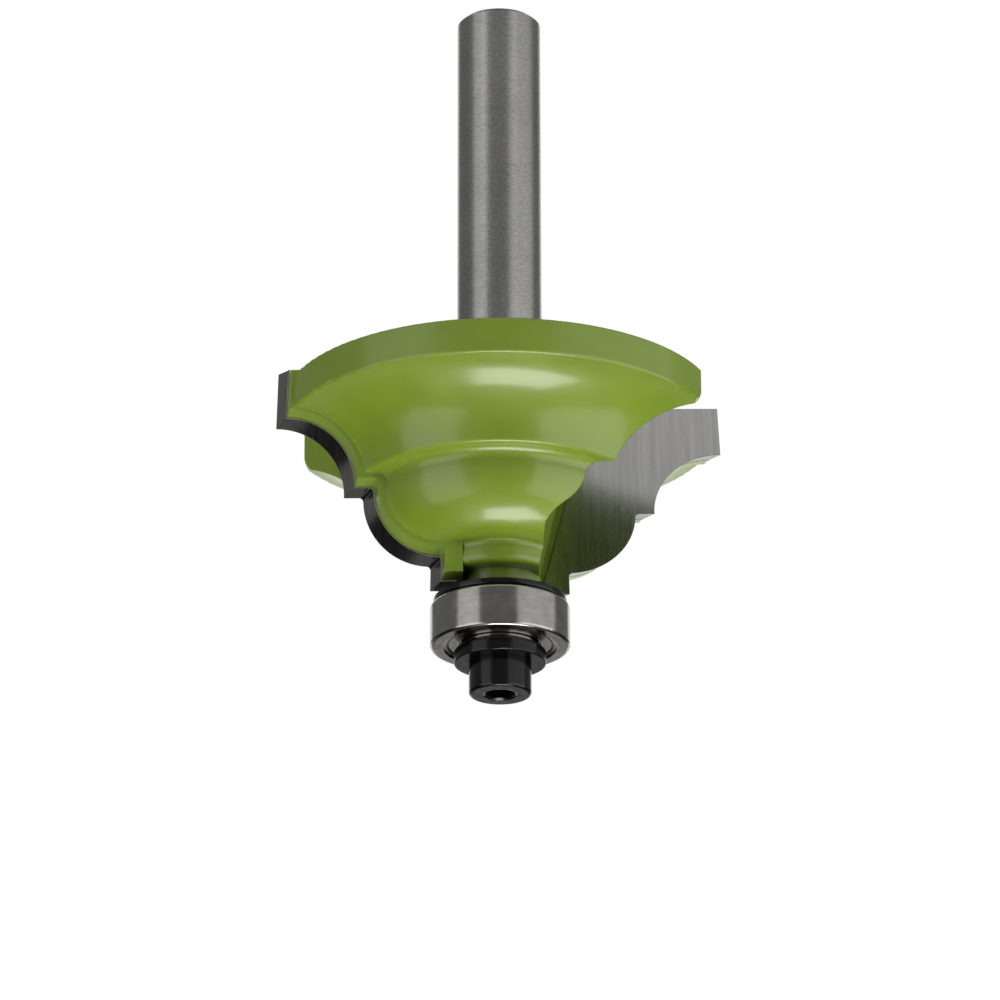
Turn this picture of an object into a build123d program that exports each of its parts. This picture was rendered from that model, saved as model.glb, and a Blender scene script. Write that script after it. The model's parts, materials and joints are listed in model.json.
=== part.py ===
from build123d import *
from math import cos, radians, sin, sqrt, tan
import os

os.makedirs("parts", exist_ok=True)

# A two-flute profile router bit with brazed carbide tips and a ball-bearing pilot.
# The tool's axis is Z, with the shank pointing up. The origin is on the axis at the
# shank's root, where the length that a collet can grip ends. The cutter turns
# clockwise seen from the shank. Sizes are in millimetres, angles in degrees.

# Shank
shank_dia = 8.0
shank_length = 33.9
shank_chamfer = 0.34

# Hub and rim behind the profile
hub_height = 5.84
hub_top_dia = 11.0
hub_base_dia = 33.0
hub_fillet = 0.8
hub_round = 0.5
rim_dia = 40.72
rim_back_round = 0.15
rim_front_round = 0.3
rim_corner_round = 1.5

# Cutting profile, given as the radii that the edges sweep about the axis
ovolo_radius = 6.38
step_width = 1.78
cove_radius = 6.45
step_drop = 10.39
land_length = 2.26
cutter_rise = 1.18
corner_fillet = 0.4

# Turned body, set back behind the cutting edges
set_back = 1.0
cove_drop = 0.35
step_root_round = 0.4
step_edge_round = 0.95
neck_dia = 11.2
neck_length = 2.1
neck_fillet = 0.5
neck_round = 0.7
collar_dia = 7.6

# Carbide tips and the wings that back them
flutes = 2
rake_offset = 4.05
shear_slope = 0.19
side_relief = 27.2
end_relief = 7.3
tip_thickness = 1.95
tip_proud = 0.12
tip_root_x = 3.85
tip_root_lean = 13.2
wing_thickness = 3.6
wing_set_back = 0.08
wing_relief = 9.0
wing_core_x = 1.0
wing_root_x = 3.4
wing_top_fall = 11.0

# Gullets in front of the tips
floor_x = 3.6
floor_lean = 11.8
wall_y = -7.8
wall_slope = 0.1
floor_round = 1.5

# Pilot bearing, a 5 x 13 x 4 deep-groove ball bearing with two metal shields
bearing_bore = 5.0
pilot_dia = 13.0
bearing_width = 4.0
bearing_round = 0.3
bore_chamfer = 0.15
ball_dia = 2.0
ball_count = 7
ball_pitch_dia = 9.0
ball_clearance = 0.02
race_conformity = 0.52
race_shoulder = 0.36
shield_seat_dia = 10.6
shield_seat_depth = 0.55
shield_sheet = 0.15
shield_dish = 0.12
shield_flange = 0.4
shield_bore_dia = 7.6
inner_notch_dia = 7.2
snap_wire = 0.2
snap_lift = 0.02
snap_reach = 0.3
snap_groove_depth = 0.1
snap_gap_angle = 14.0
snap_gap_at = 90.0
cage_sheet = 0.15
cage_band = 0.8
pocket_clearance = 0.04
rivet_dia = 0.36
rivet_head_dia = 0.56
rivet_head_height = 0.08

# Washers and screw that hold the bearing on its spigot
fit_clearance = 0.02
washer_gap = 0.72
shield_washer_dia = 12.4
shield_washer_height = 0.72
boss_dia = 6.8
boss_height = 0.15
washer_round = 0.12
spigot_short = 0.15
stop_washer_dia = 8.54
stop_washer_height = 1.6
stop_face_dia = 7.0
stop_bevel = 0.45
stop_hole_dia = 3.2
screw_dia = 3.0
screw_length = 10.0
screw_chamfer = 0.3
head_dia = 5.8
head_height = 3.0
head_round = 0.25
socket_flats = 2.5
socket_depth = 1.4
socket_chamfer = 0.12
socket_cone = 30.0
tap_runout = 1.5
drill_point = 118.0

# Heights of the cutter, from the rim's back face down
rim_back_z = -hub_height
cutter_top_z = rim_back_z + cutter_rise
step_z = rim_back_z - step_drop
cove_top_z = step_z + cove_radius
ovolo_end_z = step_z - ovolo_radius
cutter_bottom_z = ovolo_end_z - land_length
neck_top_z = ovolo_end_z + set_back
neck_bottom_z = neck_top_z - neck_length

# Heights of the pilot stack, from the cutter down
shoulder_z = cutter_bottom_z - washer_gap
bearing_top_z = shoulder_z - shield_washer_height
bearing_z = bearing_top_z - bearing_width / 2
bearing_bottom_z = bearing_top_z - bearing_width
spigot_end_z = bearing_bottom_z + spigot_short
head_top_z = bearing_bottom_z - stop_washer_height
screw_bottom_z = head_top_z - head_height
screw_end_z = head_top_z + screw_length
tap_end_z = screw_end_z + tap_runout

# Radii of the cutting profile and of the body behind it
land_r = pilot_dia / 2
step_inner_r = land_r + ovolo_radius
step_outer_r = step_inner_r + step_width
cutter_r = step_outer_r + cove_radius
rim_r = rim_dia / 2
shank_r = shank_dia / 2
neck_r = neck_dia / 2
body_cove_r = cove_radius + set_back
body_ovolo_r = ovolo_radius - set_back
body_step_z = step_z + set_back
body_cove_z = step_z - cove_drop
body_step_outer_r = cutter_r - sqrt(body_cove_r**2 - (set_back + cove_drop) ** 2)
body_step_inner_r = land_r + body_ovolo_r
rim_front_z = body_cove_z + sqrt(body_cove_r**2 - (cutter_r - rim_r) ** 2)
spigot_r = bearing_bore / 2 - fit_clearance
tap_r = screw_dia / 2
tap_point_z = tap_end_z + tap_r / tan(radians(drill_point / 2))
reach = 2 * cutter_r

print(f"cutting diameter {2 * cutter_r:.2f}, length {cutter_top_z - cutter_bottom_z:.2f}")
print(f"overall length {shank_length - screw_bottom_z:.2f}")


def arc_point(centre, radius, angle):
    """A point at an angle on a circle, all in one plane."""
    turn = radians(angle)
    return (centre[0] + radius * cos(turn), centre[1] + radius * sin(turn))


def half_way(centre, start, end):
    """The middle of the arc from start to end about centre."""
    radius = (Vector(start) - Vector(centre)).length
    middle = (Vector(start) + Vector(end)) / 2 - Vector(centre)
    point = Vector(centre) + middle.normalized() * radius
    return (point.X, point.Y)


def corner(sketch, point):
    """The sketch's corner at a point."""
    return sketch.vertices().sort_by_distance((*point, 0))[0]


# The rake face of the first tip is a plane parallel to X, leaning back by the shear
# slope. Its mate, the side plane, measures depth behind that face and height up it.
face_stretch = sqrt(1 + shear_slope**2)
rake_origin = (0, rake_offset, rim_back_z)
rake_plane = Plane(origin=rake_origin, x_dir=(1, 0, 0), z_dir=(0, -1, shear_slope))
side_plane = Plane(origin=rake_origin, x_dir=(0, 1, -shear_slope), z_dir=(1, 0, 0))
tip_slope = tan(radians(side_relief))
wing_slope = tan(radians(wing_relief))
tip_fall = Vector(-tip_slope, 1, tan(radians(end_relief)))
wing_fall = Vector(-wing_slope, 1, tan(radians(end_relief)))


def on_face(radius, height):
    """Where on the rake face an edge sweeps this radius at this height."""
    rise = height - rim_back_z
    face_y = rake_offset + shear_slope * rise
    return (sqrt(radius**2 - face_y**2), rise * face_stretch)


face_top = on_face(cutter_r, cutter_top_z)[1]
face_bottom = on_face(land_r, cutter_bottom_z)[1]

# Outline of the ground profile on the rake face, run past the tip's top and root.
cove_start = on_face(cutter_r, cove_top_z)
cove_middle = on_face(*arc_point((cutter_r, step_z), cove_radius, 135))
step_outer = on_face(step_outer_r, step_z)
step_inner = on_face(step_inner_r, step_z)
ovolo_middle = on_face(*arc_point((land_r, step_z), ovolo_radius, -45))
land_top = on_face(land_r, ovolo_end_z)
land_bottom = on_face(land_r, cutter_bottom_z)
over_top = on_face(cutter_r, cutter_top_z + cutter_rise)

with BuildSketch(rake_plane) as cutting_outline:
    with BuildLine():
        Polyline((wing_core_x, over_top[1]), over_top, cove_start)
        ThreePointArc(cove_start, cove_middle, step_outer)
        Line(step_outer, step_inner)
        ThreePointArc(step_inner, ovolo_middle, land_top)
        Polyline(land_top, land_bottom, (wing_core_x, face_bottom))
        Line((wing_core_x, face_bottom), (wing_core_x, over_top[1]))
    make_face()
    inner_corners = [corner(cutting_outline, point) for point in (step_inner, land_top)]
    fillet(inner_corners, corner_fillet)

# Carbide tip: a flat plate whose edge is ground to the profile, with relief behind it.
root_rise = face_top - face_bottom
root_top_x = tip_root_x + root_rise * tan(radians(tip_root_lean))
with BuildPart() as carbide_tip:
    extrude(cutting_outline.sketch, amount=reach, dir=tip_fall)
    with BuildSketch(rake_plane):
        Polygon(
            (tip_root_x, face_bottom),
            (reach, face_bottom),
            (reach, face_top),
            (root_top_x, face_top),
            align=None,
        )
    extrude(amount=-tip_thickness, mode=Mode.INTERSECT)


# Wing: the steel behind the tip. It has less relief than the tip, so its outline is
# moved in until the two nearly meet at the tip's back. Its top falls away to the rim,
# and its back is parallel to the rake face.
wing_shift = (tip_slope - wing_slope) * tip_thickness
top_fall = (wing_thickness - tip_thickness) * tan(radians(wing_top_fall))
with BuildSketch(rake_plane) as wing_outline:
    with Locations((-wing_shift, 0)):
        add(cutting_outline.sketch_local)
    offset(amount=-wing_set_back, kind=Kind.INTERSECTION, mode=Mode.REPLACE)
with BuildPart() as wing:
    extrude(wing_outline.sketch, amount=reach, dir=wing_fall)
    with BuildSketch(side_plane.offset(wing_root_x)):
        Polygon(
            (tip_proud, face_bottom - corner_fillet),
            (wing_thickness, face_bottom - corner_fillet),
            (wing_thickness, face_top - top_fall),
            (tip_thickness, face_top),
            (tip_proud, face_top),
            align=None,
        )
    extrude(amount=reach, mode=Mode.INTERSECT)


def gullet_section(height):
    """Corners of a gullet at a height: a floor, a wall and the side of the rake face."""
    rise = height - rim_back_z
    floor = floor_x + (height - neck_bottom_z) * tan(radians(floor_lean))
    front = wall_y + wall_slope * rise
    back = rake_offset + shear_slope * rise + tip_proud * face_stretch
    return [(floor, front), (reach, front), (reach, back), (floor, back)]


# Gullet: the space milled in front of a tip, from the neck up through the hub.
with BuildPart() as gullet:
    for height in (neck_bottom_z, hub_fillet):
        with BuildSketch(Plane.XY.offset(height)):
            Polygon(*gullet_section(height), align=None)
    loft()
    inner_front = gullet.edges().filter_by(Axis.X, reverse=True)
    inner_front = inner_front.filter_by(lambda edge: edge.bounding_box().size.Z > hub_height)
    inner_front = inner_front.sort_by(lambda edge: edge.center().X + edge.center().Y)[0]
    fillet(inner_front, floor_round)

# The rim's sharp corner beside a gullet is rounded off, out to where the rim curves away.
corner_y = wall_y + wall_slope * (rim_front_z - rim_back_z)
corner_x = sqrt(rim_r**2 - corner_y**2)
inner_x = corner_x - 2 * rim_corner_round
inner_r = sqrt(inner_x**2 + corner_y**2)
inner_z = body_cove_z + sqrt(body_cove_r**2 - (cutter_r - inner_r) ** 2)
with BuildPart() as rim_corner:
    with BuildSketch(Plane.XZ) as corner_profile:
        Polygon(
            (corner_x, rim_back_z),
            (corner_x, rim_front_z),
            (inner_x, inner_z),
            (inner_x, step_z),
            (reach, step_z),
            (reach, rim_back_z),
            align=None,
        )
        fillet(corner(corner_profile, (corner_x, rim_front_z)), rim_corner_round)
    extrude(amount=reach)

# Body: shank, hub and profile turned from one bar, then gashed and given its wings.
cove_centre = (cutter_r, body_cove_z)
ovolo_centre = (land_r, step_z)
shank_root = (shank_r, -hub_fillet)
hub_edge = (hub_top_dia / 2, -hub_fillet)
rim_back = (rim_r, rim_back_z)
rim_front = (rim_r, rim_front_z)
body_step_outer = (body_step_outer_r, body_step_z)
body_step_inner = (body_step_inner_r, body_step_z)
body_ovolo_start = (body_step_inner_r, step_z)
body_ovolo_end = (land_r, neck_top_z)
neck_top = (neck_r, neck_top_z)
neck_bottom = (neck_r, neck_bottom_z)
with BuildPart() as cutter_body:
    with BuildSketch(Plane.XZ) as turned_profile:
        with BuildLine():
            Polyline(
                (0, tap_point_z),
                (0, shank_length),
                (shank_r - shank_chamfer, shank_length),
                (shank_r, shank_length - shank_chamfer),
                shank_root,
                hub_edge,
                (hub_base_dia / 2, rim_back_z),
                rim_back,
                rim_front,
            )
            ThreePointArc(rim_front, half_way(cove_centre, rim_front, body_step_outer), body_step_outer)
            Polyline(body_step_outer, body_step_inner, body_ovolo_start)
            ThreePointArc(
                body_ovolo_start,
                half_way(ovolo_centre, body_ovolo_start, body_ovolo_end),
                body_ovolo_end,
            )
            Polyline(
                body_ovolo_end,
                neck_top,
                neck_bottom,
                (collar_dia / 2, neck_bottom_z),
                (collar_dia / 2, shoulder_z),
                (spigot_r, shoulder_z),
                (spigot_r, spigot_end_z),
                (tap_r, spigot_end_z),
                (tap_r, tap_end_z),
                (0, tap_point_z),
            )
        make_face()
        fillet(corner(turned_profile, shank_root), hub_fillet)
        fillet(corner(turned_profile, hub_edge), hub_round)
        fillet(corner(turned_profile, rim_back), rim_back_round)
        fillet(corner(turned_profile, rim_front), rim_front_round)
        fillet(corner(turned_profile, body_step_outer), step_root_round)
        fillet(corner(turned_profile, body_step_inner), step_edge_round)
        fillet(corner(turned_profile, neck_top), neck_fillet)
        fillet(corner(turned_profile, neck_bottom), neck_round)
    revolve(axis=Axis.Z)
    with PolarLocations(0, flutes):
        add(gullet.part, mode=Mode.SUBTRACT)
        add(rim_corner.part, mode=Mode.SUBTRACT)
    with PolarLocations(0, flutes):
        add(wing.part)
    with PolarLocations(0, flutes):
        add(carbide_tip.part, mode=Mode.SUBTRACT)

cutter_body.part.label = "cutter_body"
export_step(cutter_body.part, "parts/cutter_body.step")

for index in range(flutes):
    name = f"carbide_tip_{index + 1}"
    with BuildPart() as tip:
        add(carbide_tip.part, rotation=(0, 0, index * 360 / flutes))
    tip.part.label = name
    export_step(tip.part, f"parts/{name}.step")

# Shield washer: a flat disc over the bearing, its boss resting on the inner ring only.
washer_r = shield_washer_dia / 2
boss_top_z = bearing_top_z + boss_height
washer_edges = [(washer_r, boss_top_z), (washer_r, shoulder_z)]
with BuildPart() as shield_washer:
    with BuildSketch(Plane.XZ) as washer_profile:
        Polygon(
            (spigot_r + fit_clearance, bearing_top_z),
            (boss_dia / 2, bearing_top_z),
            (boss_dia / 2, boss_top_z),
            *washer_edges,
            (spigot_r + fit_clearance, shoulder_z),
            align=None,
        )
        fillet([corner(washer_profile, point) for point in washer_edges], washer_round)
    revolve(axis=Axis.Z)
shield_washer.part.label = "shield_washer"
export_step(shield_washer.part, "parts/shield_washer.step")

# The bearing's parts are drawn on a plane through its centre, so that one half of each
# profile can be mirrored about the mid-plane.
bearing_plane = Plane(origin=(0, 0, bearing_z), x_dir=(1, 0, 0), z_dir=(0, -1, 0))
mid_plane = Plane.XY.offset(bearing_z)
half_width = bearing_width / 2
ball_r = ball_dia / 2
pitch_r = ball_pitch_dia / 2
groove_r = race_conformity * ball_dia
outer_race_r = pitch_r + ball_r + ball_clearance
inner_race_r = pitch_r - ball_r - ball_clearance
outer_land_r = outer_race_r - race_shoulder
inner_land_r = inner_race_r + race_shoulder
groove_half = sqrt(groove_r**2 - (groove_r - race_shoulder) ** 2)
seat_r = shield_seat_dia / 2
seat_h = half_width - shield_seat_depth
snap_h = seat_h + shield_sheet + snap_lift
snap_outer_r = seat_r + snap_groove_depth - fit_clearance
snap_inner_r = seat_r - snap_reach

# Outer ring, which rides on the work as the pilot.
ring_corner = (pilot_dia / 2, half_width)
race_bottom = (outer_race_r, 0)
race_top = (outer_land_r, groove_half)
race_centre = (outer_race_r - groove_r, 0)
with BuildPart() as outer_ring:
    with BuildSketch(bearing_plane) as ring_profile:
        with BuildLine():
            ThreePointArc(race_bottom, half_way(race_centre, race_bottom, race_top), race_top)
            Polyline(
                race_top,
                (outer_land_r, seat_h),
                (seat_r, seat_h),
                (seat_r, snap_h),
                (seat_r + snap_groove_depth, snap_h),
                (seat_r + snap_groove_depth, snap_h + snap_wire),
                (seat_r, snap_h + snap_wire),
                (seat_r, half_width),
                ring_corner,
                (pilot_dia / 2, 0),
                race_bottom,
            )
        make_face()
        fillet(corner(ring_profile, ring_corner), bearing_round)
    revolve(axis=Axis.Z)
    mirror(about=mid_plane)
outer_ring.part.label = "outer_ring"
export_step(outer_ring.part, "parts/outer_ring.step")

# Inner ring, clamped between the two washers.
bore_corner = (bearing_bore / 2, half_width)
race_bottom = (inner_race_r, 0)
race_top = (inner_land_r, groove_half)
race_centre = (inner_race_r + groove_r, 0)
with BuildPart() as inner_ring:
    with BuildSketch(bearing_plane) as ring_profile:
        with BuildLine():
            ThreePointArc(race_bottom, half_way(race_centre, race_bottom, race_top), race_top)
            Polyline(
                race_top,
                (inner_land_r, seat_h),
                (inner_notch_dia / 2, seat_h),
                (inner_notch_dia / 2, half_width),
                bore_corner,
                (bearing_bore / 2, 0),
                race_bottom,
            )
        make_face()
        chamfer(corner(ring_profile, bore_corner), bore_chamfer)
    revolve(axis=Axis.Z)
    mirror(about=mid_plane)
inner_ring.part.label = "inner_ring"
export_step(inner_ring.part, "parts/inner_ring.step")

# Balls
pitch_angle = 360 / ball_count
for index in range(ball_count):
    name = f"ball_{index + 1}"
    centre = arc_point((0, 0), pitch_r, index * pitch_angle)
    with BuildPart() as ball:
        with Locations((*centre, bearing_z)):
            Sphere(ball_r)
    ball.part.label = name
    export_step(ball.part, f"parts/{name}.step")

# Cage: two pressed ribbons that meet on the mid-plane, with a round pocket for each
# ball and a rivet through each bridge between two pockets.
pocket_r = ball_r + pocket_clearance
cage_inner_r = pitch_r - cage_band / 2
cage_outer_r = pitch_r + cage_band / 2
bridge_angle = pitch_angle / 2
with BuildPart() as cage_half:
    with Locations((0, 0, bearing_z)):
        with PolarLocations(pitch_r, ball_count):
            Sphere(pocket_r + cage_sheet)
        Cylinder(cage_outer_r, cage_sheet, align=(Align.CENTER, Align.CENTER, Align.MIN))
    with BuildSketch(mid_plane):
        Circle(cage_outer_r)
        Circle(cage_inner_r, mode=Mode.SUBTRACT)
    extrude(amount=half_width, mode=Mode.INTERSECT)
    with Locations((0, 0, bearing_z)):
        with PolarLocations(pitch_r, ball_count):
            Sphere(pocket_r, mode=Mode.SUBTRACT)
        with PolarLocations(pitch_r, ball_count, start_angle=bridge_angle):
            Cylinder(rivet_dia / 2, bearing_width, mode=Mode.SUBTRACT)
cage_half.part.label = "cage_upper"
export_step(cage_half.part, "parts/cage_upper.step")

with BuildPart() as cage_lower:
    add(cage_half.part.mirror(mid_plane))
cage_lower.part.label = "cage_lower"
export_step(cage_lower.part, "parts/cage_lower.step")

for index in range(ball_count):
    name = f"cage_rivet_{index + 1}"
    centre = arc_point((0, 0), pitch_r, index * pitch_angle + bridge_angle)
    with BuildPart() as rivet:
        with Locations((*centre, bearing_z)):
            Cylinder(rivet_dia / 2, 2 * cage_sheet)
        for side in (-1, 1):
            head_z = bearing_z + side * (cage_sheet + rivet_head_height / 2)
            with Locations((*centre, head_z)):
                Cylinder(rivet_head_dia / 2, rivet_head_height)
    rivet.part.label = name
    export_step(rivet.part, f"parts/{name}.step")

# Metal shields: thin dished rings seated in the outer ring, clear of the inner ring.
shield_outer_r = seat_r - fit_clearance
flange_r = shield_outer_r - shield_flange
dish_r = flange_r - shield_dish
for name, flip in (("bearing_shield_upper", False), ("bearing_shield_lower", True)):
    with BuildPart() as shield:
        with BuildSketch(bearing_plane):
            Polygon(
                (shield_outer_r, seat_h),
                (shield_outer_r, seat_h + shield_sheet),
                (flange_r, seat_h + shield_sheet),
                (dish_r, seat_h + shield_sheet + shield_dish),
                (shield_bore_dia / 2, seat_h + shield_sheet + shield_dish),
                (shield_bore_dia / 2, seat_h + shield_dish),
                (dish_r, seat_h + shield_dish),
                (flange_r, seat_h),
                align=None,
            )
        revolve(axis=Axis.Z)
        if flip:
            mirror(about=mid_plane, mode=Mode.REPLACE)
    shield.part.label = name
    export_step(shield.part, f"parts/{name}.step")

# Snap rings: split wires sprung into the outer ring's grooves over the shields.
snap_start = snap_gap_at + snap_gap_angle / 2
snap_end = snap_gap_at - snap_gap_angle / 2
snap_middle = snap_gap_at + 180
for name, flip in (("snap_ring_upper", False), ("snap_ring_lower", True)):
    with BuildPart() as snap:
        with BuildSketch(Plane.XY.offset(bearing_z + snap_h)):
            with BuildLine():
                start_outer = arc_point((0, 0), snap_outer_r, snap_start)
                start_inner = arc_point((0, 0), snap_inner_r, snap_start)
                end_outer = arc_point((0, 0), snap_outer_r, snap_end)
                end_inner = arc_point((0, 0), snap_inner_r, snap_end)
                middle_outer = arc_point((0, 0), snap_outer_r, snap_middle)
                middle_inner = arc_point((0, 0), snap_inner_r, snap_middle)
                ThreePointArc(start_outer, middle_outer, end_outer)
                Line(end_outer, end_inner)
                ThreePointArc(end_inner, middle_inner, start_inner)
                Line(start_inner, start_outer)
            make_face()
        extrude(amount=snap_wire - snap_lift)
        if flip:
            mirror(about=mid_plane, mode=Mode.REPLACE)
    snap.part.label = name
    export_step(snap.part, f"parts/{name}.step")

# Stop washer: a thick collar under the bearing, bevelled so that only the inner ring
# is clamped.
stop_r = stop_washer_dia / 2
stop_edges = [
    (stop_face_dia / 2, bearing_bottom_z),
    (stop_r, bearing_bottom_z - stop_bevel),
    (stop_r, head_top_z),
]
with BuildPart() as stop_washer:
    with BuildSketch(Plane.XZ) as stop_profile:
        Polygon(
            (stop_hole_dia / 2, bearing_bottom_z),
            *stop_edges,
            (stop_hole_dia / 2, head_top_z),
            align=None,
        )
        fillet([corner(stop_profile, point) for point in stop_edges[1:]], washer_round)
    revolve(axis=Axis.Z)
stop_washer.part.label = "stop_washer"
export_step(stop_washer.part, "parts/stop_washer.step")

# Cap screw, its thread drawn plain, with a hexagon socket in its head.
head_r = head_dia / 2
thread_r = tap_r - fit_clearance
head_edge = (head_r, screw_bottom_z)
socket_corner_r = socket_flats / sqrt(3)
socket_mouth_r = socket_corner_r + socket_chamfer
socket_floor_z = screw_bottom_z + socket_depth
with BuildPart() as cap_screw:
    with BuildSketch(Plane.XZ) as screw_profile:
        Polygon(
            (0, screw_bottom_z),
            head_edge,
            (head_r, head_top_z),
            (thread_r, head_top_z),
            (thread_r, screw_end_z - screw_chamfer),
            (thread_r - screw_chamfer, screw_end_z),
            (0, screw_end_z),
            align=None,
        )
        fillet(corner(screw_profile, head_edge), head_round)
    revolve(axis=Axis.Z)
    with BuildSketch(Plane.XY.offset(screw_bottom_z)):
        RegularPolygon(socket_corner_r, 6)
    extrude(amount=socket_depth, mode=Mode.SUBTRACT)
    with BuildSketch(Plane.XZ):
        Polygon(
            (0, screw_bottom_z),
            (socket_mouth_r, screw_bottom_z),
            (0, screw_bottom_z + socket_mouth_r * tan(radians(socket_cone))),
            align=None,
        )
    revolve(axis=Axis.Z, mode=Mode.SUBTRACT)
cap_screw.part.label = "cap_screw"
export_step(cap_screw.part, "parts/cap_screw.step")
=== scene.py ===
# %% [markdown]
# # A profile router bit
# The tool is a cutter for a hand router. A bar of steel is turned into a shank, a hub and a
# stepped profile, two hard-metal tips are brazed to its wings, and a small ball bearing
# under the profile rides on the work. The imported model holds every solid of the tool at
# its real size, so this lesson adds what a solid has no room for: lacquer, ground steel,
# a thin line of braze round the back of each tip, and the light of a small product studio.
#
# The first cell loads that model as a fixed frame. Everything is in metres, with the
# tool's axis on Z and its shank pointing up.

# %% Load the frame
import json
import math

import bpy
from mathutils import Matrix, Vector

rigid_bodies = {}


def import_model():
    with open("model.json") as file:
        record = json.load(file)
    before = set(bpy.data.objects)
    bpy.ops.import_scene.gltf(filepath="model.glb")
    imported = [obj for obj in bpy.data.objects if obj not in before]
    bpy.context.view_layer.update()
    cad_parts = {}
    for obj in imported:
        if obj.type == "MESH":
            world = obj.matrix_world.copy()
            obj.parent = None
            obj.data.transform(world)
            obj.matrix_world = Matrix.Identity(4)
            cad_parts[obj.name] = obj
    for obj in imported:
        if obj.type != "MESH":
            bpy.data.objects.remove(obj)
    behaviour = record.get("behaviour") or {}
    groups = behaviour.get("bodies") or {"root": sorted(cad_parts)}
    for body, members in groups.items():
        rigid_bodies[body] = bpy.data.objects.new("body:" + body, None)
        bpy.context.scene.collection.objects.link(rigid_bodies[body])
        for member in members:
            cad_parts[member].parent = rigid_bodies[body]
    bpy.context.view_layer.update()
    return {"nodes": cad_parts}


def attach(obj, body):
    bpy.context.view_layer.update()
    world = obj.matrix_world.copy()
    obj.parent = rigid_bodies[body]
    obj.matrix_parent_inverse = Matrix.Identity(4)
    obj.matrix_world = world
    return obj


for leftover in list(bpy.data.objects):
    bpy.data.objects.remove(leftover)

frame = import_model()
nodes = frame["nodes"]
mm = 0.001

# %% [markdown]
# ## The camera
# The tool hangs with its shank up and the camera looks at it from below the rim, so the
# profile, the bearing and the screw's socket all show. A long lens from about half a
# metre keeps the sides of the shank nearly parallel. The camera aims at a point on the
# tool's axis. Its three directions are worked out from the angle that it looks up at, and
# a small roll sets the shank upright in the picture.

# %% Camera
look_up = math.radians(21.475)
roll = 0.002
distance = 0.4693
target = Vector((0, 0, -0.015608))

forward = Vector((0, math.cos(look_up), math.sin(look_up)))
level_up = Vector((0, -math.sin(look_up), math.cos(look_up)))
level_right = Vector((1, 0, 0))
camera_up = level_up * math.cos(roll) + level_right * math.sin(roll)
camera_right = level_right * math.cos(roll) - level_up * math.sin(roll)

camera_data = bpy.data.cameras.new("camera")
camera_data.sensor_width = 36
camera_data.lens = 180.72
camera_data.shift_x = 0.000184
camera_data.clip_start = 0.01
camera = bpy.data.objects.new("camera", camera_data)
bpy.context.scene.collection.objects.link(camera)
turned = Matrix((camera_right, camera_up, -forward)).transposed().to_4x4()
camera.matrix_world = Matrix.Translation(target - distance * forward) @ turned
bpy.context.scene.camera = camera
print("camera at", [round(value, 4) for value in camera.matrix_world.translation])

# %% [markdown]
# ## Writing nodes as sums
# A finish is easier to read as arithmetic than as boxes and wires. `Wire` holds one
# output of a node, and a sum or a comparison of wires adds its Math nodes. `Tree` wraps a
# node tree, and its `add` method makes any other node from its type, its settings and
# what goes into its sockets. The same two classes serve the materials, the world and
# Geometry Nodes.


# %% Wires and trees
class Wire:
    """One output socket, which takes part in sums as a number does."""

    def __init__(self, tree, socket):
        self.tree = tree
        self.socket = socket

    def other(self, out):
        """Another output of the node that this wire comes from."""
        return Wire(self.tree, self.socket.node.outputs[out])

    def __add__(self, other):
        return self.tree.math("ADD", self, other)

    def __mul__(self, other):
        return self.tree.math("MULTIPLY", self, other)

    def __sub__(self, other):
        return self.tree.math("SUBTRACT", self, other)

    def __rsub__(self, other):
        return self.tree.math("SUBTRACT", other, self)

    def __pow__(self, other):
        return self.tree.math("POWER", self, other)

    def __abs__(self):
        return self.tree.math("ABSOLUTE", self)

    def __gt__(self, other):
        return self.tree.math("GREATER_THAN", self, other)

    def __lt__(self, other):
        return self.tree.math("LESS_THAN", self, other)

    __radd__ = __add__
    __rmul__ = __mul__


class Tree:
    """A node tree that is built with plain calls."""

    def __init__(self, tree):
        self.tree = tree

    def plug(self, socket, value):
        if isinstance(value, Wire):
            self.tree.links.new(value.socket, socket)
        else:
            socket.default_value = value

    def add(self, kind, settings=None, links=None, out=0):
        """A node's chosen output, or the node itself where it has no output."""
        node = self.tree.nodes.new(kind)
        for key, value in (settings or {}).items():
            setattr(node, key, value)
        for key, value in (links or {}).items():
            self.plug(node.inputs[key], value)
        return Wire(self, node.outputs[out]) if node.outputs else node

    def math(self, operation, *values):
        return self.add("ShaderNodeMath", {"operation": operation}, dict(enumerate(values)))


# %% [markdown]
# ## What the finishes share
# Every finish on this tool starts from the same shader and from the same few patterns:
# noise that lies still in the piece, a range cut out of it, and a shallow bump. They are
# the methods of `Finish`. A pattern reads Object coordinates, so it turns with a piece
# that turns. `dress` puts a finish on the solids by their names.


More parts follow.
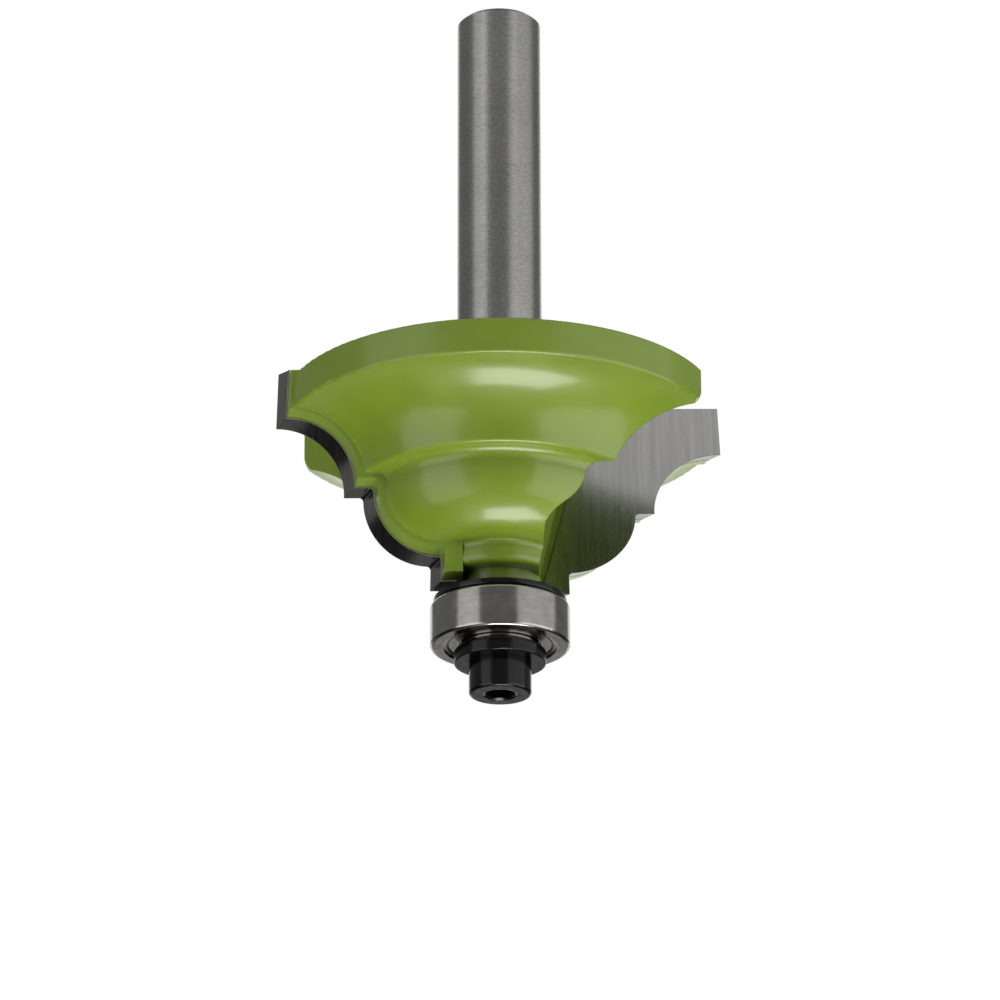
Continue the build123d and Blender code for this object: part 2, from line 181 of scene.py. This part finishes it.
# %% Finishes
class Finish(Tree):
    """A material with a Principled shader, and the patterns that several finishes use."""

    # Where a Mix node keeps its first input and its output for each kind of data.
    mix_sockets = {"FLOAT": (2, 0), "VECTOR": (4, 1), "RGBA": (6, 2)}

    def __init__(self, name, **constants):
        self.material = bpy.data.materials.new(name)
        self.material.use_nodes = True
        super().__init__(self.material.node_tree)
        self.tree.nodes.clear()
        self.shader = self.add("ShaderNodeBsdfPrincipled")
        self.output = self.add("ShaderNodeOutputMaterial", links={"Surface": self.shader})
        self.set(**constants)
        self.place = self.add("ShaderNodeTexCoord", out="Object")
        self.x = self.add("ShaderNodeSeparateXYZ", links={0: self.place})
        self.y = self.x.other(1)
        self.z = self.x.other(2)

    @property
    def radius(self):
        """The distance from the tool's axis."""
        return (self.x * self.x + self.y * self.y) ** 0.5

    def set(self, **sockets):
        """Plugs a value or a wire into each named socket of the shader."""
        for key, value in sockets.items():
            self.plug(self.shader.socket.node.inputs[key.replace("_", " ")], value)

    def vector(self, x, y, z):
        return self.add("ShaderNodeCombineXYZ", links={0: x, 1: y, 2: z})

    def noise(self, scale, detail=2.0, roughness=0.5, vector=None):
        """Noise around 0.5 whose lumps are about one over the scale wide, in metres."""
        links = {
            "Vector": vector or self.place,
            "Scale": scale,
            "Detail": detail,
            "Roughness": roughness,
        }
        return self.add("ShaderNodeTexNoise", {"normalize": True}, links)

    def span(self, value, start=0.0, end=1.0, low=0.3, high=0.7):
        """From start to end as the value goes from low to high, and held outside them.

        Plain noise keeps to about 0.3 to 0.7, and a sum of several keeps nearer to 0.5.
        """
        links = {"Value": value, 1: low, 2: high, 3: start, 4: end}
        return self.add("ShaderNodeMapRange", {"clamp": True}, links)

    def mix(self, kind, factor, first, second):
        """From first to second as the factor goes from 0 to 1."""
        entry, out = self.mix_sockets[kind]
        links = {0: factor, entry: first, entry + 1: second}
        return self.add("ShaderNodeMix", {"data_type": kind}, links, out)

    def mix_colour(self, factor, first, second):
        first = first if isinstance(first, Wire) else (*first, 1)
        second = second if isinstance(second, Wire) else (*second, 1)
        return self.mix("RGBA", factor, first, second)

    def soft_edge(self, radius):
        """A normal that rounds the sharp edges by a radius, without changing the mesh."""
        return self.add("ShaderNodeBevel", {"samples": 6}, {"Radius": radius})

    def bump(self, height, depth, normal=None):
        """The normal of a surface raised by the depth where the height is 1."""
        links = {"Height": height, "Distance": depth}
        if normal:
            links["Normal"] = normal
        return self.add("ShaderNodeBump", links=links)


def dress(finish, *names):
    """Gives the finish to every material slot of the named CAD nodes."""
    for name in names:
        for slot in nodes[name].material_slots:
            slot.material = finish.material
    count = len(finish.tree.nodes)
    print(finish.material.name, "on", len(names), "nodes,", count, "shader nodes")


# %% [markdown]
# ## Lacquered body and ground shank
# The body is one piece of steel with two finishes. From the hub down it has a glossy
# lime-green lacquer, and the shank is left as it came from the cylindrical grinder. Both
# finishes live in one material and a mask on the height parts them, as the masking tape
# did on the real tool.
#
# The lacquer is a coat over a coloured base. Its surface has a faint orange peel, and it
# draws back from sharp corners, so a Bevel node rounds the shading there. In hollows, such
# as the roots of the step and the gullets, shade is painted into its colour: an Ambient
# Occlusion node finds them, and the green is painted darker there. The grinder leaves rings
# round the shank, and on its end face, finer than a tenth of a millimetre. They blur
# reflections across the lines.

# %% Body finish
lacquer_end = -0.25 * mm
lacquer_waver = 0.12 * mm
lacquer_green = (0.236, 0.352, 0.022)
lacquer_deep = (0.212, 0.322, 0.017)
# Painted shade: the dark green that the lacquer is given in hollows, where shade falls.
lacquer_painted_shade = (0.03, 0.052, 0.0025)
lacquer_roughness = (0.38, 0.46)
coat_weight = 0.78
painted_shade_reach = 2.5 * mm
peel_depth = 0.012 * mm
corner_radius = 0.18 * mm

steel_dark = (0.27, 0.267, 0.252)
steel_light = (0.56, 0.555, 0.525)
steel_roughness = (0.22, 0.31)
ring_depth = 0.0017 * mm
squeeze_round = 0.25
squeeze_along = 6.0

body = Finish("body_finish", Coat_Roughness=0.17, Coat_IOR=1.5)
waver = body.noise(scale=900, detail=1.0) - 0.5
on_shank = body.z + waver * lacquer_waver > lacquer_end

clouds = body.noise(scale=260, detail=3.0)
peel = body.noise(scale=1500)
# Painted shade: an Ambient Occlusion node finds the hollows, and the lacquer's colour is
# darkened there.
painted_shade_occlusion = body.add(
    "ShaderNodeAmbientOcclusion",
    {"samples": 8},
    {"Distance": painted_shade_reach},
    out="AO",
)
clear_of_painted_shade = body.span(painted_shade_occlusion, low=0.25, high=0.75)
unshaded_lacquer_colour = body.mix_colour(body.span(clouds), lacquer_deep, lacquer_green)
lacquer_colour_with_painted_shade = body.mix_colour(clear_of_painted_shade, lacquer_painted_shade, unshaded_lacquer_colour)

around = body.vector(
    body.x * squeeze_round,
    body.y * squeeze_round,
    (body.z + body.radius) * squeeze_along,
)
rings = body.noise(scale=7000, vector=around)
grit = body.noise(scale=12000)
stains = body.noise(scale=180, detail=4.0)
steel_tone = body.span(rings * 0.55 + grit * 0.3 + stains * 0.15, low=0.38, high=0.62)
steel_colour = body.mix_colour(steel_tone, steel_dark, steel_light)

lacquer_normal = body.bump(peel, peel_depth, normal=body.soft_edge(corner_radius))
steel_normal = body.bump(rings * 0.6 + grit * 0.4, ring_depth)
lacquer_gloss = body.span(clouds, *lacquer_roughness)
steel_gloss = body.span(grit, *steel_roughness)
body.set(
    Base_Color=body.mix_colour(on_shank, lacquer_colour_with_painted_shade, steel_colour),
    Metallic=on_shank,
    Roughness=body.mix("FLOAT", on_shank, lacquer_gloss, steel_gloss),
    Coat_Weight=(1 - on_shank) * coat_weight,
    Normal=body.mix("VECTOR", on_shank, lacquer_normal, steel_normal),
)
dress(body, "cutter_body")

# %% [markdown]
# ## Hard metal
# The tips are sintered carbide, ground with a diamond wheel. The flat rake face shows
# straight grinding lines that run up the tool. The relief behind the edge is ground to
# the profile and looks darker, because it turns away from the light. One pattern serves
# both: noise that changes quickly along X and slowly the other ways draws lines up the
# rake face and across the relief.

# %% Carbide finish
carbide_dark = (0.24, 0.238, 0.228)
carbide_light = (0.385, 0.382, 0.366)
carbide_roughness = (0.20, 0.28)
carbide_edge = 0.06 * mm
scratch_depth = 0.0008 * mm
scratch_stretch = 0.03

carbide = Finish("hard_metal", Metallic=1.0)
across = carbide.vector(carbide.x, carbide.y * scratch_stretch, carbide.z * scratch_stretch)
scratches = carbide.noise(scale=14000, detail=3.0, roughness=0.6, vector=across)
broad = carbide.noise(scale=1800, vector=across)
grain = carbide.noise(scale=22000, detail=1.0)
carbide_tone = carbide.span(scratches * 0.5 + broad * 0.35 + grain * 0.15, low=0.35, high=0.65)
carbide_soft = carbide.soft_edge(carbide_edge)
carbide.set(
    Base_Color=carbide.mix_colour(carbide_tone, carbide_dark, carbide_light),
    Roughness=carbide.span(scratches, *carbide_roughness),
    Normal=carbide.bump(scratches * 0.8 + grain * 0.2, scratch_depth, normal=carbide_soft),
)
dress(carbide, "carbide_tip_1", "carbide_tip_2")

# %% [markdown]
# ## The braze
# A tip is held by silver solder, run in while the joint is red hot. What shows after the
# grinder has passed is a thin pale bead along the line where the tip's back meets its
# wing. That line is already on the tip's mesh, as the sharp edges whose two ends lie on
# the back plane. So Geometry Nodes picks out those edges, turns them into curves and
# sweeps a small circle along them, and the bead follows the profile however it is ground.
# The solid comes as loose triangles, so its doubled points are merged first.

# %% Bead group
bead_inputs = {
    "Tip": "Geometry",
    "Back Point": "Vector",
    "Back Normal": "Vector",
    "Tolerance": "Float",
    "Sharp Angle": "Float",
    "Bead Radius": "Float",
    "Sides": "Int",
    "Finish": "Material",
}
same_point = 0.001 * mm

beads = bpy.data.node_groups.new("braze_bead", "GeometryNodeTree")
for label, kind in bead_inputs.items():
    beads.interface.new_socket(label, in_out="INPUT", socket_type="NodeSocket" + kind)
beads.interface.new_socket("Bead", in_out="OUTPUT", socket_type="NodeSocketGeometry")

bead = Tree(beads)
tip = bead.add("NodeGroupInput")
given = {label: tip.other(label) for label in bead_inputs}
merged = bead.add(
    "GeometryNodeMergeByDistance",
    links={"Geometry": given["Tip"], "Distance": same_point},
)
turn = bead.add("GeometryNodeInputMeshEdgeAngle")
first_end = bead.add("GeometryNodeInputMeshEdgeVertices", out="Position 1")
chosen = turn > given["Sharp Angle"]
for end in (first_end, first_end.other("Position 2")):
    offset = bead.add(
        "ShaderNodeVectorMath",
        {"operation": "SUBTRACT"},
        {0: end, 1: given["Back Point"]},
    )
    depth = bead.add(
        "ShaderNodeVectorMath",
        {"operation": "DOT_PRODUCT"},
        {0: offset, 1: given["Back Normal"]},
        out="Value",
    )
    chosen = chosen * (abs(depth) < given["Tolerance"])
line = bead.add("GeometryNodeMeshToCurve", links={"Mesh": merged, "Selection": chosen})
ring = bead.add(
    "GeometryNodeCurvePrimitiveCircle",
    links={"Resolution": given["Sides"], "Radius": given["Bead Radius"]},
)
swept = bead.add(
    "GeometryNodeCurveToMesh",
    links={"Curve": line, "Profile Curve": ring, "Fill Caps": True},
)
smooth = bead.add("GeometryNodeSetShadeSmooth", links={0: swept})
solid = bead.add("GeometryNodeRealizeInstances", links={0: smooth})
dressed = bead.add(
    "GeometryNodeSetMaterial",
    links={"Geometry": solid, "Material": given["Finish"]},
)
bead.add("NodeGroupOutput", links={"Bead": dressed})
print("braze_bead group of", len(beads.nodes), "nodes")

# %% [markdown]
# ## A bead for each tip
# The rake face leans with the shear of the cut, and the tip's back lies one thickness
# behind it. These four sizes are the ones that the tips were built with, so the plane
# that the group looks for is the back itself. The second tip is the first one turned
# half a turn, so Y changes its sign.


# %% Braze beads
def grow(name, source, group, values):
    """Runs a node group on a copy of a mesh and keeps what comes out as a plain mesh."""
    mesh = source.data.copy()
    mesh.transform(source.matrix_world)
    piece = bpy.data.objects.new(name, mesh)
    bpy.context.scene.collection.objects.link(piece)
    modifier = piece.modifiers.new("grow", "NODES")
    modifier.node_group = group
    for item in group.interface.items_tree:
        if item.name in values:
            modifier[item.identifier] = values[item.name]
    grown = piece.evaluated_get(bpy.context.evaluated_depsgraph_get())
    piece.data = bpy.data.meshes.new_from_object(grown)
    piece.modifiers.remove(modifier)
    piece.data.name = name
    print(name, len(piece.data.vertices), "vertices", len(piece.data.polygons), "faces")
    return piece


braze_dark = (0.34, 0.35, 0.20)
braze_light = (0.52, 0.52, 0.36)
braze_roughness = (0.32, 0.50)
braze_depth = 0.02 * mm

braze = Finish("braze", Metallic=1.0)
braze_grain = braze.noise(scale=3500, detail=3.0)
braze.set(
    Base_Color=braze.mix_colour(braze_grain, braze_dark, braze_light),
    Roughness=braze.span(braze_grain, *braze_roughness),
    Normal=braze.bump(braze_grain, braze_depth),
)

shear_slope = 0.19
rake_offset = 4.05 * mm
hub_height = 5.84 * mm
tip_thickness = 1.95 * mm
for index, side in ((1, 1), (2, -1)):
    lean = Vector((0, -side, shear_slope)).normalized()
    on_rake_face = Vector((0, side * rake_offset, -hub_height))
    values = {
        "Back Point": on_rake_face - lean * tip_thickness,
        "Back Normal": lean,
        "Tolerance": 0.02 * mm,
        "Sharp Angle": math.radians(30),
        "Bead Radius": 0.05 * mm,
        "Sides": 10,
        "Finish": braze.material,
    }
    piece = grow(f"braze_bead_{index}", nodes[f"carbide_tip_{index}"], beads, values)
    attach(piece, "cutter")

# %% [markdown]
# ## Black oxide
# The screw and the two washers are steel with a thin black oxide, oiled, so they are
# nearly black but still shine. The oil film makes the gloss, so the shader is hardly
# metallic. The oxide is a little cloudy, and under it are the rings that the lathe left.

# %% Black finish
oxide_dark = (0.001, 0.0012, 0.0012)
oxide_light = (0.004, 0.0045, 0.0045)
oxide_metallic = (0.0, 0.08)
oxide_roughness = (0.09, 0.22)
oxide_depth = 0.008 * mm
oxide_edge = 0.07 * mm

black = Finish("black_oxide", Specular_IOR_Level=0.45)
black_clouds = black.noise(scale=2500, detail=4.0)
black_place = black.vector(black.radius, 0.0, black.z)
black_rings = black.noise(scale=9000, detail=1.0, vector=black_place)
black_height = black_rings * 0.35 + black_clouds * 0.65
black.set(
    Base_Color=black.mix_colour(black_clouds, oxide_dark, oxide_light),
    Metallic=black.span(black_clouds, *oxide_metallic, low=0.2, high=0.8),
    Roughness=black.span(black_clouds, *oxide_roughness),
    Normal=black.bump(black_height, oxide_depth, normal=black.soft_edge(oxide_edge)),
)
dress(black, "shield_washer", "stop_washer", "cap_screw")

# %% [markdown]
# ## Bearing steels
# The rings are hardened steel, ground all over, so their lines run round the axis: they
# follow the height on the outside and the radius on the faces. The shields are pressed
# from bright sheet, the snap rings are drawn wire, and the balls and their cage are
# hidden but finished all the same. All of them lie round one axis, so one function
# makes every finish from its two tones, its roughness, and its lines' width and depth.


# %% Bearing finishes
bearing_edge = 0.05 * mm


def turned_steel(name, dark, light, roughness, line_width, line_depth):
    """Bare steel with faint lines round the tool's axis."""
    steel = Finish(name, Metallic=1.0)
    line_place = steel.vector(steel.radius, 0.0, steel.z)
    lines = steel.noise(scale=1 / line_width, vector=line_place)
    patches = steel.noise(scale=900, detail=3.0)
    tone = steel.span(lines * 0.6 + patches * 0.4, low=0.35, high=0.65)
    haze = steel.span(lines * 0.5 + patches * 0.5, *roughness, low=0.35, high=0.65)
    steel.set(
        Base_Color=steel.mix_colour(tone, dark, light),
        Roughness=haze,
        Normal=steel.bump(lines, line_depth, normal=steel.soft_edge(bearing_edge)),
    )
    return steel


ring_steel = turned_steel(
    "ring_steel",
    dark=(0.33, 0.324, 0.307),
    light=(0.49, 0.483, 0.455),
    roughness=(0.12, 0.20),
    line_width=0.05 * mm,
    line_depth=0.002 * mm,
)
shield_steel = turned_steel(
    "shield_steel",
    dark=(0.28, 0.264, 0.215),
    light=(0.42, 0.398, 0.33),
    roughness=(0.2, 0.3),
    line_width=0.08 * mm,
    line_depth=0.002 * mm,
)
wire_steel = turned_steel(
    "wire_steel",
    dark=(0.30, 0.29, 0.28),
    light=(0.42, 0.41, 0.40),
    roughness=(0.2, 0.3),
    line_width=0.04 * mm,
    line_depth=0.001 * mm,
)
cage_steel = turned_steel(
    "cage_steel",
    dark=(0.36, 0.34, 0.31),
    light=(0.48, 0.46, 0.42),
    roughness=(0.3, 0.42),
    line_width=0.09 * mm,
    line_depth=0.002 * mm,
)
ball_steel = turned_steel(
    "ball_steel",
    dark=(0.55, 0.55, 0.54),
    light=(0.60, 0.60, 0.59),
    roughness=(0.04, 0.07),
    line_width=0.2 * mm,
    line_depth=0.0002 * mm,
)
dress(ring_steel, "outer_ring", "inner_ring")
dress(shield_steel, "bearing_shield_upper", "bearing_shield_lower")
dress(wire_steel, "snap_ring_upper", "snap_ring_lower")
dress(cage_steel, *[name for name in nodes if name.startswith("cage_")])
dress(ball_steel, *[name for name in nodes if name.startswith("ball_")])

# %% [markdown]
# ## The lamps
# Two tall soft boxes, to the left and right of the tool and mostly below it, light the
# profile. The camera looks up at the tool, so the upright sides of the shank and the
# bearing mirror what is over these boxes: a dimmer panel above each one, which gives the
# long pale bands. A wide soft light hangs high in front, and a small square one lies
# nearly straight below, for the glints on the undersides. Between the lamps the room is
# dim, and that dark gap is what makes steel look like steel. The camera doesn't see the
# lamps.


# %% Lamps
def towards(azimuth, elevation):
    """A direction from the tool, by its azimuth from the front and its elevation."""
    turn, rise = math.radians(azimuth), math.radians(elevation)
    level = math.cos(rise)
    return Vector((math.sin(turn) * level, -math.cos(turn) * level, math.sin(rise)))


def soft_box(name, azimuth, elevation, away, size, watts):
    """A rectangular lamp that faces the tool."""
    width, height = size
    direction = towards(azimuth, elevation)
    data = bpy.data.lights.new(name, "AREA")
    data.shape = "RECTANGLE"
    data.size = width
    data.size_y = height
    data.energy = watts
    lamp = bpy.data.objects.new(name, data)
    lamp.location = target + direction * away
    lamp.rotation_euler = direction.to_track_quat("Z", "Y").to_euler()
    lamp.visible_camera = False
    bpy.context.scene.collection.objects.link(lamp)
    print(name, "radiance", round(watts / (math.pi * width * height), 2))


box = {"elevation": -15, "away": 0.6}
panel = {"elevation": 25, "away": 0.6}
soft_box("soft_box_left", azimuth=-52, **box, size=(0.48, 0.693), watts=1.25)
soft_box("soft_box_left_top", azimuth=-54, **panel, size=(0.40, 0.212), watts=0.15)
soft_box("soft_box_right", azimuth=65, **box, size=(0.82, 0.693), watts=2.5)
soft_box("soft_box_right_top", azimuth=65, **panel, size=(0.82, 0.212), watts=0.26)

high = {"azimuth": 0, "elevation": 50, "away": 1.2}
low = {"azimuth": 82, "elevation": -83.6, "away": 0.28}
soft_box("soft_box_above", **high, size=(2.0, 0.48), watts=2.6)
soft_box("soft_box_below", **low, size=(0.145, 0.145), watts=0.42)

# %% [markdown]
# ## Black flags
# A photographer stands black boards beside shiny things, so that their sides mirror
# something dark and stand out from a white background. Here there are two, low down on
# the left and right and a little behind the tool. Only shiny surfaces see them: they
# throw no shadow and the camera looks through them.


# %% Flags
square = ((-1, -1), (1, -1), (1, 1), (-1, 1))


def board(name, corners, finish):
    """A flat board of the studio, which is no part of the tool."""
    mesh = bpy.data.meshes.new(name)
    mesh.from_pydata([tuple(corner) for corner in corners], [], [(0, 1, 2, 3)])
    mesh.materials.append(finish.material)
    piece = bpy.data.objects.new(name, mesh)
    bpy.context.scene.collection.objects.link(piece)
    print(name, "with", len(finish.tree.nodes), "shader nodes")
    return piece


def flag(name, azimuth, elevation, away, size):
    """A black board that only shiny surfaces see, square to its direction."""
    width, height = size
    turn = math.radians(azimuth)
    outward = towards(azimuth, elevation)
    across = Vector((math.cos(turn), math.sin(turn), 0)) * (width / 2)
    upward = outward.cross(across).normalized() * (height / 2)
    centre = target + outward * away
    corners = [centre + across * side + upward * end for side, end in square]
    felt = Finish(name, Base_Color=(0.01, 0.01, 0.01, 1), Roughness=0.9)
    piece = board(name, corners, felt)
    piece.visible_camera = piece.visible_diffuse = piece.visible_shadow = False


flag("flag_left", azimuth=-109, elevation=-37, away=0.3, size=(0.30, 0.38))
flag("flag_right", azimuth=132, elevation=-37, away=0.3, size=(0.20, 0.38))

# %% [markdown]
# ## Floor, backdrop and room
# The tool hangs over a plain pale floor and in front of a white backdrop. They look white
# without any more light: a Light Path node mixes plain white into their material for the
# rays that see them, and that white puts no light on matt surfaces. The camera sees both
# white, the floor a little less so that it keeps some of its shade. Shiny surfaces see
# the backdrop white and the floor as it is lit. The room is done in the same way: dim
# grey, a lighter grey in mirrors and white for the camera.


# %% Floor, backdrop and room
def background(name, corners, shown, mirrored):
    """A pale board with a share of plain white for the camera and for shiny surfaces."""
    pale = Finish(name, Base_Color=(0.8, 0.8, 0.8, 1), Roughness=0.9)
    glow = pale.add("ShaderNodeEmission", links={"Strength": 1.0})
    rays = pale.add("ShaderNodeLightPath", out="Is Camera Ray")
    shiny = rays.other("Is Glossy Ray") + rays.other("Is Transmission Ray")
    white = rays * shown + shiny * mirrored
    both = pale.add("ShaderNodeMixShader", links={0: white, 1: pale.shader, 2: glow})
    pale.plug(pale.output.inputs["Surface"], both)
    board(name, corners, pale)


floor_reach = 3.0
floor_z = -0.75
floor_corners = [(x * floor_reach, y * floor_reach, floor_z) for x, y in square]
background("floor", floor_corners, shown=0.9, mirrored=0.0)

back_reach = 0.33
back_y = 0.55
back_bottom = -0.21
back_top = 0.6
back_heights = {-1: back_bottom, 1: back_top}
back_corners = [(x * back_reach, back_y, back_heights[end]) for x, end in square]
background("backdrop", back_corners, shown=1.0, mirrored=1.0)

room_grey = 0.11
mirrored_grey = 0.19
world = bpy.data.worlds.new("room")
world.use_nodes = True
room = Tree(world.node_tree)
room.tree.nodes.clear()
dim, mirrored, white = [
    room.add("ShaderNodeBackground", links={"Color": (grey, grey, grey, 1)})
    for grey in (room_grey, mirrored_grey, 1.0)
]
camera_ray = room.add("ShaderNodeLightPath", out="Is Camera Ray")
glossy_ray = camera_ray.other("Is Glossy Ray")
walls = room.add("ShaderNodeMixShader", links={0: glossy_ray, 1: dim, 2: mirrored})
sky = room.add("ShaderNodeMixShader", links={0: camera_ray, 1: walls, 2: white})
room.add("ShaderNodeOutputWorld", links={"Surface": sky})
bpy.context.scene.world = world
bpy.context.scene.view_settings.view_transform = "Standard"
print("room", room_grey, "and", mirrored_grey, "in mirrors")
